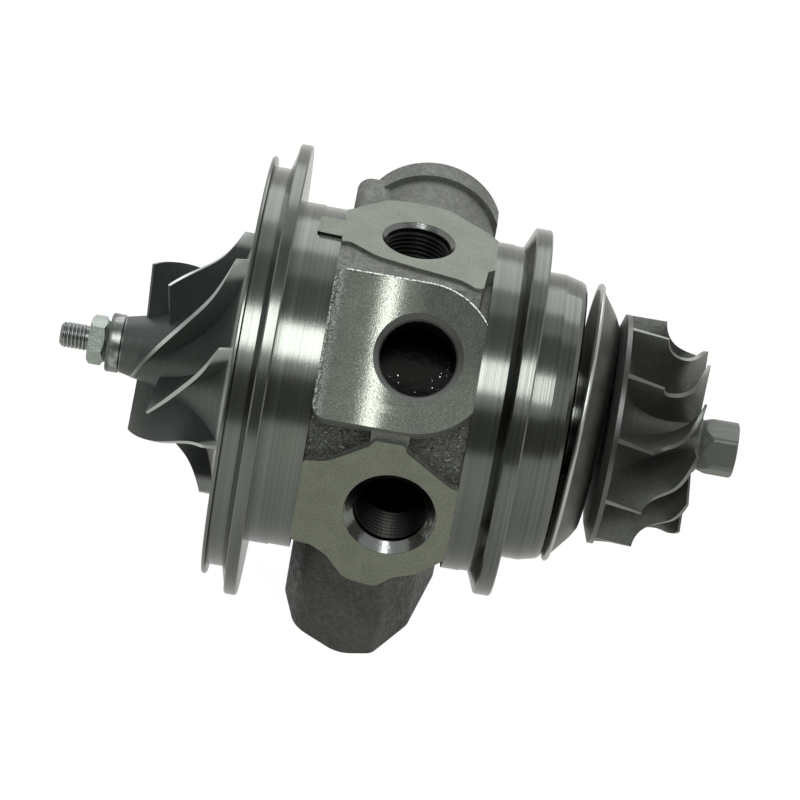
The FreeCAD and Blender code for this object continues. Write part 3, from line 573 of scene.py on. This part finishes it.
def jacket_shade_and_glints(f, colours):
    """the inner wall that shows through the ports, darkened by painted shade, with painted glints as of wet
    drips
    """
    inner_wall = f.times(f.within(f.x, CAST_START, CAST_END),
                         f.ramp(f.radius, JACKET_RADIUS + 0.4, JACKET_RADIUS + 0.2))
    f.layer(inner_wall, f.shade(colours.cast, 0.07), 0.42, f.times(f.noise(0.7, detail=2.0), 0.14), 1.0)
    # Painted glints on the dark wall
    drop_glints = f.times(inner_wall, f.ramp(f.cells(0.9), 0.16, 0.08), f.ramp(f.noise(0.12), 0.5, 0.6))
    f.layer(drop_glints, f.shade(colours.bright, 0.5), 0.2)


def housing_finish(colours):
    """cast skin in the middle, turned ends, milled pads, polished bevels, and bores darkened with painted
    shade
    """
    f = Finish("cast_and_machined_housing", colours.cast, 0.62)
    cast_skin(f, colours)
    wet_pockets(f, colours)
    turned_ends(f, colours)
    for port, brightness, roughness in PAD_FINISHES:
        pad = sanded_pad if port is ANGLED_PORT else milled_pad
        pad(f, colours, port, brightness, roughness)
        bored_hole(f, colours, port)
    jacket_shade_and_glints(f, colours)
    dress(f.done(), "bearing_housing")


def out_facing(f):
    """how much the surface faces away from the shaft"""
    normal = f.split(f.normal)
    return f.math("ADD", f.times(normal[1], f.math("DIVIDE", f.y, f.radius)),
                  f.times(normal[2], f.math("DIVIDE", f.z, f.radius)))


def compressor_finish(colours):
    """cast skin with painted shade darkening it underneath, the shroud edges and the collar left bright by
    the tool, and a painted highlight at the blade tips
    """
    f = Finish("compressor_casting", colours.alloy, 0.42)
    skin = f.noise(0.9, detail=3.0)
    # The height ramp is painted shade underneath
    f.colour = f.shade(colours.alloy, f.times(f.ramp(skin, 0.3, 0.7, 0.92, 1.08),
                                              f.ramp(f.z, -18.0, 8.0, 0.42, 0.9)))
    f.relief = sum_of(f, (skin, 0.02), (f.cells(2.0), 0.01))
    f.metallic = 0.3
    nose = low("compressor_wheel").x
    patches = f.ramp(f.noise(0.5, detail=2.0), 0.42, 0.6)
    worn = f.times(f.ramp(f.x, nose + 3.3, nose + 2.9), f.ramp(f.x, nose + 0.4, nose + 1.1, 0.25, 1.0))
    f.layer(worn, f.shade(colours.bright, f.mix(0.45, 0.8, patches)), 0.34, f.times(f.rings(3.0), 0.03), 1.0)
    start = high("compressor_wheel").x - SHROUD_BEFORE_BACK
    run = f.math("DIVIDE", f.math("ADD", f.x, -start), SHROUD_LENGTH, clamp=True)
    steepest = SHROUD_RISE * SHROUD_POWER / SHROUD_LENGTH
    slope = f.times(f.math("POWER", run, SHROUD_POWER - 1), steepest)
    edge_radius = f.math("MULTIPLY_ADD", f.math("POWER", run, SHROUD_POWER), SHROUD_RISE, SHROUD_RADIUS)
    leaning = f.math("SUBTRACT", out_facing(f), f.times(f.split(f.normal)[0], slope))
    facing_shroud = f.math("DIVIDE", leaning, f.math("SQRT", f.math("MULTIPLY_ADD", slope, slope, 1.0)))
    edge = f.times(f.math("GREATER_THAN", f.radius, edge_radius), f.ramp(facing_shroud, 0.72, 0.84))
    f.layer(edge, colours.bright, 0.3, f.times(f.rings(4.0), 0.02), 1.0)
    # A painted highlight where the blade tips flare in the light
    tips = f.times(f.ramp(f.radius, 23.5, 25.5), f.ramp(f.x, start + 13.8, start + 15.8))
    f.layer(tips, f.shade(colours.bright, 1.3), 0.4, None, 0.4)
    dress(f.done(), "compressor_wheel")


def turbine_finish(colours):
    """investment-cast skin with rubbed blade edges and a lighter nose"""
    f = Finish("turbine_casting", colours.nickel, 0.44)
    skin = f.noise(1.1, detail=4.0)
    f.colour = f.shade(colours.nickel, f.ramp(skin, 0.3, 0.7, 0.9, 1.1))
    f.relief = sum_of(f, (skin, 0.05), (f.cells(1.8), 0.02))
    f.metallic = 0.6
    edge = f.times(f.math("GREATER_THAN", f.radius, TURBINE_RUBBED), f.ramp(out_facing(f), 0.6, 0.75))
    edge_tone = f.ramp(f.x, TURBINE_DISC_FRONT - 0.1, TURBINE_DISC_FRONT + 0.2, 0.28, 0.5)
    f.layer(edge, f.shade(colours.bright, edge_tone), 0.34, f.times(f.rings(4.0), 0.02), 1.0)
    nose = f.ramp(f.x, TURBINE_NOSE, TURBINE_NOSE + 2.5)
    f.layer(nose, f.shade(colours.nickel, 1.25), 0.46, f.times(skin, 0.08), 1.0)
    dress(f.done(), "turbine_wheel")


def shield_finish(colours):
    """pressed plate, darkened by the furnace, its rim rubbed bright"""
    f = Finish("shield_plate", colours.shield, 0.4)
    f.colour = f.shade(colours.shield, f.ramp(f.noise(0.15, detail=3.0), 0.3, 0.7, 0.75, 1.25))
    f.relief = sum_of(f, (f.rings(1.8), 0.03), (f.noise(1.5), 0.02))
    f.layer(f.ramp(f.radius, SHIELD_RIM, SHIELD_RIM + 0.4), colours.bright, 0.3)
    dress(f.done(), "heat_shield")


def rotor_finish(colours):
    """shaft steel, the plated nut and the thrust collars"""
    f = Finish("ground_shaft_steel", colours.shaft, 0.3)
    f.relief = f.times(f.rings(4.0), 0.02)
    f.colour = f.shade(colours.shaft, f.ramp(f.rings(1.5), 0.3, 0.7, 0.85, 1.15))
    dress(f.done(), "rotor_shaft", "thrust_ring", "thrust_sleeve")
    f = Finish("plated_nut_steel", colours.zinc, 0.36)
    f.colour = f.shade(colours.zinc, f.ramp(f.noise(0.8, detail=3.0), 0.3, 0.7, 0.85, 1.15))
    f.relief = sum_of(f, (f.noise(2.0, detail=3.0), 0.03), (f.rings(2.0), 0.02))
    dress(f.done(), "compressor_nut")


def inner_finish(colours):
    """the pieces behind the wheels and inside the housing"""
    f = Finish("bearing_bronze_turned", colours.bronze, 0.32)
    f.colour = f.shade(colours.bronze, f.ramp(f.rings(1.5), 0.3, 0.7, 0.85, 1.15))
    f.relief = f.times(f.rings(3.0), 0.02)
    dress(f.done(), "journal_bearing_compressor_side", "journal_bearing_turbine_side", "thrust_bearing")
    f = Finish("spring_steel_strip", colours.shaft, 0.35)
    f.colour = f.shade(colours.shaft, f.ramp(f.noise(0.5), 0.3, 0.7, 0.7, 1.0))
    f.relief = f.times(f.noise(2.0), 0.02)
    rings = ["bearing_retaining_ring_%d" % (n + 1) for n in range(4)]
    dress(f.done(), "insert_snap_ring", "compressor_seal_ring_1", "compressor_seal_ring_2",
          "turbine_seal_ring", *rings)
    f = Finish("insert_alloy_turned", colours.alloy, 0.4)
    f.colour = f.shade(colours.alloy, f.ramp(f.rings(1.2), 0.3, 0.7, 0.9, 1.3))
    f.relief = f.times(f.rings(3.0), 0.03)
    dress(f.done(), "seal_insert")
    f = Finish("deflector_sheet", colours.shaft, 0.4)
    f.colour = f.shade(colours.shaft, f.ramp(f.noise(0.3), 0.3, 0.7, 0.8, 1.1))
    f.relief = f.times(f.noise(1.0), 0.03)
    dress(f.done(), "oil_deflector", "thrust_bearing_screws")
    f = Finish("seal_rubber_black", colours.rubber, 0.55)
    f.relief = f.times(f.noise(3.0), 0.01)
    f.metallic = 0.0
    dress(f.done(), "insert_o_ring")


def thread_mesh(name, start, way, radius, length, pitch, height):
    """a helical ridge on a round wall, in metres: height inwards of the radius, or outwards if negative"""
    side = way.orthogonal().normalized()
    other = way.cross(side)
    sunk = -height * SUNK_SHARE
    section = ((sunk, -FOOT_SHARE / 2), (height, -CREST_SHARE / 2), (height, CREST_SHARE / 2),
               (sunk, FOOT_SHARE / 2))
    turns = length / pitch - 1
    count = int(turns * THREAD_SIDES)
    mesh = bmesh.new()
    rows = []
    for n in range(count + 1):
        angle = 2 * math.pi * n / THREAD_SIDES
        rise = pitch * (0.5 + n / THREAD_SIDES)
        grow = min(1.0, n / (THREAD_SIDES / 2), (count - n) / (THREAD_SIDES / 2))
        row = []
        for depth, share in section:
            depth = sunk + (depth - sunk) * max(grow, 0.05)
            reach = radius - depth
            point = start + way * (rise + share * pitch)
            point += (side * math.cos(angle) + other * math.sin(angle)) * reach
            row.append(mesh.verts.new(point))
        rows.append(row)
    for a, b in zip(rows, rows[1:]):
        for k in range(4):
            mesh.faces.new((a[k], a[(k + 1) % 4], b[(k + 1) % 4], b[k]))
    mesh.faces.new(rows[0])
    mesh.faces.new(rows[-1][::-1])
    bmesh.ops.recalc_face_normals(mesh, faces=mesh.faces)
    data = bpy.data.meshes.new(name)
    mesh.to_mesh(data)
    mesh.free()
    piece = bpy.data.objects.new(name, data)
    bpy.context.scene.collection.objects.link(piece)
    return piece


class CARTRIDGE_OT_housing(bpy.types.Operator):
    """Finish the bearing housing"""

    bl_idname = "cartridge.housing"
    bl_label = "Housing finish"

    def execute(self, context):
        housing_finish(context.scene.cartridge_finish)
        return {"FINISHED"}


class CARTRIDGE_OT_wheels(bpy.types.Operator):
    """Finish the two wheels"""

    bl_idname = "cartridge.wheels"
    bl_label = "Wheel finish"

    def execute(self, context):
        compressor_finish(context.scene.cartridge_finish)
        turbine_finish(context.scene.cartridge_finish)
        return {"FINISHED"}


class CARTRIDGE_OT_shield(bpy.types.Operator):
    """Finish the heat shield"""

    bl_idname = "cartridge.shield"
    bl_label = "Shield finish"

    def execute(self, context):
        shield_finish(context.scene.cartridge_finish)
        return {"FINISHED"}


class CARTRIDGE_OT_rotor(bpy.types.Operator):
    """Finish the shaft, the nut and the pieces inside"""

    bl_idname = "cartridge.rotor"
    bl_label = "Rotor and inner finish"

    def execute(self, context):
        rotor_finish(context.scene.cartridge_finish)
        inner_finish(context.scene.cartridge_finish)
        return {"FINISHED"}


class CARTRIDGE_OT_port_threads(bpy.types.Operator):
    """Cut the threads of the oil inlet and of the two coolant ports"""

    bl_idname = "cartridge.port_threads"
    bl_label = "Port threads"

    def execute(self, context):
        sizes = context.scene.cartridge_threads
        # The threads' colour is the turned steel darkened by painted shade
        dark = [part * THREAD_SHADE for part in context.scene.cartridge_finish.turned]
        f = Finish("cut_thread", dark, 0.36)
        f.relief = f.times(f.noise(2.0), 0.03)
        material = f.done()
        for name, port, length in PORT_THREADS:
            pitch = sizes.oil_pitch if port is OIL_INLET else sizes.port_pitch
            bevel = port.mouth - port.radius
            start = (port.centre - port.way * (bevel + length)) * MM
            piece = thread_mesh(name, start, port.way, port.radius * MM, length * MM, pitch,
                                sizes.port_depth)
            piece.data.materials.append(material)
            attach(piece, "housing")
        return {"FINISHED"}


class CARTRIDGE_OT_stud_thread(bpy.types.Operator):
    """Roll the thread on the shaft's stud"""

    bl_idname = "cartridge.stud_thread"
    bl_label = "Stud thread"

    def execute(self, context):
        sizes = context.scene.cartridge_threads
        tip = low("rotor_shaft").x
        nut = low("compressor_nut").x
        start = Vector((tip + STUD_POINT, 0, 0)) * MM
        piece = thread_mesh("stud_thread", start, SHAFT, STUD_RADIUS * MM, (nut - tip - STUD_PLAIN) * MM,
                            sizes.stud_pitch, -sizes.stud_depth)
        shaft = context.scene.cartridge_finish.shaft
        f = Finish("oiled_stud_thread_painted_shade", shaft, 0.35)
        # Painted shade darkens the thread's roots and painted light brightens its crests
        f.colour = f.shade(shaft, f.ramp(f.radius, STUD_RADIUS, STUD_RADIUS + 0.18, 0.4, 1.6))
        f.relief = f.times(f.noise(3.0), 0.02)
        piece.data.materials.append(f.done())
        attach(piece, "rotor")
        return {"FINISHED"}


def panel_mesh(name, corners):
    """a flat four-cornered sheet"""
    data = bpy.data.meshes.new(name)
    data.from_pydata([tuple(c) for c in corners], [], [(0, 1, 2, 3)])
    piece = bpy.data.objects.new(name, data)
    bpy.context.scene.collection.objects.link(piece)
    return piece


def white_material(colour):
    """matte white that the camera sees nearly unshaded, and the metal a little darker"""
    material = bpy.data.materials.new("studio_floor")
    material.use_nodes = True
    nodes = material.node_tree.nodes
    links = material.node_tree.links
    nodes.clear()
    matte = nodes.new("ShaderNodeBsdfDiffuse")
    matte.inputs["Color"].default_value = (*colour, 1.0)
    glow = nodes.new("ShaderNodeEmission")
    glow.inputs["Strength"].default_value = FLOOR_GLOW
    rays = nodes.new("ShaderNodeLightPath")
    seen = nodes.new("ShaderNodeMath")
    seen.operation = "MULTIPLY"
    seen.inputs[1].default_value = FLOOR_SEEN
    links.new(rays.outputs["Is Camera Ray"], seen.inputs[0])
    either = nodes.new("ShaderNodeMath")
    either.operation = "MAXIMUM"
    links.new(rays.outputs["Is Glossy Ray"], either.inputs[0])
    links.new(rays.outputs["Is Transmission Ray"], either.inputs[1])
    share = nodes.new("ShaderNodeMath")
    share.operation = "MULTIPLY_ADD"
    share.inputs[1].default_value = FLOOR_MIRRORED
    links.new(either.outputs[0], share.inputs[0])
    links.new(seen.outputs[0], share.inputs[2])
    mix = nodes.new("ShaderNodeMixShader")
    links.new(share.outputs[0], mix.inputs[0])
    links.new(matte.outputs[0], mix.inputs[1])
    links.new(glow.outputs[0], mix.inputs[2])
    output = nodes.new("ShaderNodeOutputMaterial")
    links.new(mix.outputs[0], output.inputs["Surface"])
    return material


def studio_world():
    """white where the camera and the metal look, a plain fill for the rest"""
    world = bpy.data.worlds.new("studio_world")
    bpy.context.scene.world = world
    world.use_nodes = True
    nodes = world.node_tree.nodes
    links = world.node_tree.links
    nodes.clear()
    rays = nodes.new("ShaderNodeLightPath")
    seen = nodes.new("ShaderNodeMath")
    seen.operation = "MAXIMUM"
    links.new(rays.outputs["Is Camera Ray"], seen.inputs[0])
    links.new(rays.outputs["Is Glossy Ray"], seen.inputs[1])
    either = nodes.new("ShaderNodeMath")
    either.operation = "MAXIMUM"
    links.new(seen.outputs[0], either.inputs[0])
    links.new(rays.outputs["Is Transmission Ray"], either.inputs[1])
    strength = nodes.new("ShaderNodeMapRange")
    strength.inputs["To Min"].default_value = WORLD_FILL
    strength.inputs["To Max"].default_value = 1.0
    links.new(either.outputs[0], strength.inputs["Value"])
    background = nodes.new("ShaderNodeBackground")
    links.new(strength.outputs[0], background.inputs["Strength"])
    output = nodes.new("ShaderNodeOutputWorld")
    links.new(background.outputs[0], output.inputs["Surface"])


def lamp(name, radiance, width, height, azimuth, elevation, distance):
    """a soft lamp aimed at the object; azimuth 0 is the camera's side and grows towards +X"""
    a = math.radians(azimuth)
    e = math.radians(elevation)
    way = Vector((math.sin(a) * math.cos(e), -math.cos(a) * math.cos(e), math.sin(e)))
    data = bpy.data.lights.new(name, "AREA")
    data.shape = "RECTANGLE"
    data.size = width
    data.size_y = height
    data.energy = radiance * math.pi * width * height
    light = bpy.data.objects.new(name, data)
    bpy.context.scene.collection.objects.link(light)
    centre = (CAD_LOW + CAD_HIGH) / 2
    light.location = centre + way * distance
    light.rotation_mode = "QUATERNION"
    light.rotation_quaternion = way.to_track_quat("Z", "Y")


def dark_card(name, azimuth):
    """a dark card that only reflections see, as a photographer stands one beside metal"""
    a = math.radians(azimuth)
    away = Vector((math.sin(a), -math.cos(a), 0))
    side = Vector((math.cos(a), math.sin(a), 0))
    centre = (CAD_LOW + CAD_HIGH) / 2
    rise = [math.tan(math.radians(e)) * CARD_DISTANCE for e in CARD_ELEVATIONS]
    card = panel_mesh(name, [centre + away * CARD_DISTANCE + side * s * CARD_WIDTH / 2 + UP * z
                             for s, z in ((-1, rise[0]), (1, rise[0]), (1, rise[1]), (-1, rise[1]))])
    darken(card, CARD_TONE)


def darken(card, tone):
    """gives a card one flat tone, and hides it from everything but reflections"""
    material = bpy.data.materials.new(card.name)
    material.use_nodes = True
    nodes = material.node_tree.nodes
    nodes.clear()
    glow = nodes.new("ShaderNodeEmission")
    glow.inputs["Color"].default_value = (*tone, 1.0)
    output = nodes.new("ShaderNodeOutputMaterial")
    material.node_tree.links.new(glow.outputs[0], output.inputs["Surface"])
    card.data.materials.append(material)
    card.visible_camera = False
    card.visible_diffuse = False
    card.visible_shadow = False


def studio_camera(settings):
    """the photograph's view"""
    e, a, roll = settings.elevation, settings.azimuth, settings.roll
    sight = Vector((math.sin(a) * math.cos(e), math.cos(a) * math.cos(e), -math.sin(e)))
    right = Vector((math.cos(a), -math.sin(a), 0))
    up = Vector((math.sin(a) * math.sin(e), math.cos(a) * math.sin(e), math.cos(e)))
    across = right * math.cos(roll) + up * math.sin(roll)
    upward = up * math.cos(roll) - right * math.sin(roll)
    place = Vector(settings.target) - sight * settings.distance
    data = bpy.data.cameras.new("camera")
    data.lens = settings.lens
    data.sensor_width = 36
    data.clip_start = 0.01
    camera = bpy.data.objects.new("camera", data)
    bpy.context.scene.collection.objects.link(camera)
    turn = Matrix((across, upward, -sight)).transposed()
    camera.matrix_world = Matrix.Translation(place) @ turn.to_4x4()
    bpy.context.scene.camera = camera


class CARTRIDGE_OT_stage(bpy.types.Operator):
    """Set up the camera, the floor, the lamps, the cards and the background"""

    bl_idname = "cartridge.stage"
    bl_label = "Studio"

    def execute(self, context):
        settings = context.scene.cartridge_studio
        context.scene.view_settings.view_transform = "Standard"
        studio_camera(settings)
        level = CAD_LOW.z - FLOOR_GAP
        corners = ((-1, -1), (1, -1), (1, 1), (-1, 1))
        floor = panel_mesh("floor", [(FLOOR_HALF * x, FLOOR_HALF * y, level) for x, y in corners])
        floor.data.materials.append(white_material(tuple(settings.white)))
        studio_world()
        lamp("key", settings.key_radiance, *KEY_LAMP)
        lamp("top", settings.top_radiance, *TOP_LAMP)
        for n, azimuth in enumerate(CARD_AZIMUTHS):
            dark_card("card_%d" % n, azimuth)
        left, right = OVERHEAD_X
        front, back = OVERHEAD_Y
        corners = ((left, front), (right, front), (right, back), (left, back))
        overhead = panel_mesh("overhead_card", [(x, y, OVERHEAD_LEVEL) for x, y in corners])
        darken(overhead, OVERHEAD_TONE)
        return {"FINISHED"}


class CARTRIDGE_PT_panel(bpy.types.Panel):
    """The cartridge's finishing steps"""

    bl_idname = "CARTRIDGE_PT_panel"
    bl_label = "Cartridge"
    bl_space_type = "VIEW_3D"
    bl_region_type = "UI"
    bl_category = "Cartridge"

    def draw(self, context):
        for step in STEPS:
            self.layout.operator(step.bl_idname)


STEPS = (CARTRIDGE_OT_housing, CARTRIDGE_OT_wheels, CARTRIDGE_OT_shield, CARTRIDGE_OT_rotor,
         CARTRIDGE_OT_port_threads, CARTRIDGE_OT_stud_thread, CARTRIDGE_OT_stage)
GROUPS = {"cartridge_studio": StudioSettings, "cartridge_finish": FinishSettings,
          "cartridge_threads": ThreadSettings}


def register():
    for group in GROUPS.values():
        bpy.utils.register_class(group)
    for name, group in GROUPS.items():
        setattr(bpy.types.Scene, name, bpy.props.PointerProperty(type=group))
    for step in STEPS:
        bpy.utils.register_class(step)
    bpy.utils.register_class(CARTRIDGE_PT_panel)


def unregister():
    bpy.utils.unregister_class(CARTRIDGE_PT_panel)
    for step in reversed(STEPS):
        bpy.utils.unregister_class(step)
    for name in GROUPS:
        delattr(bpy.types.Scene, name)
    for group in reversed(list(GROUPS.values())):
        bpy.utils.unregister_class(group)


def main():
    register()
    bpy.ops.cartridge.housing()
    bpy.ops.cartridge.wheels()
    bpy.ops.cartridge.shield()
    bpy.ops.cartridge.rotor()
    bpy.ops.cartridge.port_threads()
    bpy.ops.cartridge.stud_thread()
    bpy.ops.cartridge.stage()


if __name__ == "__main__":
    main()
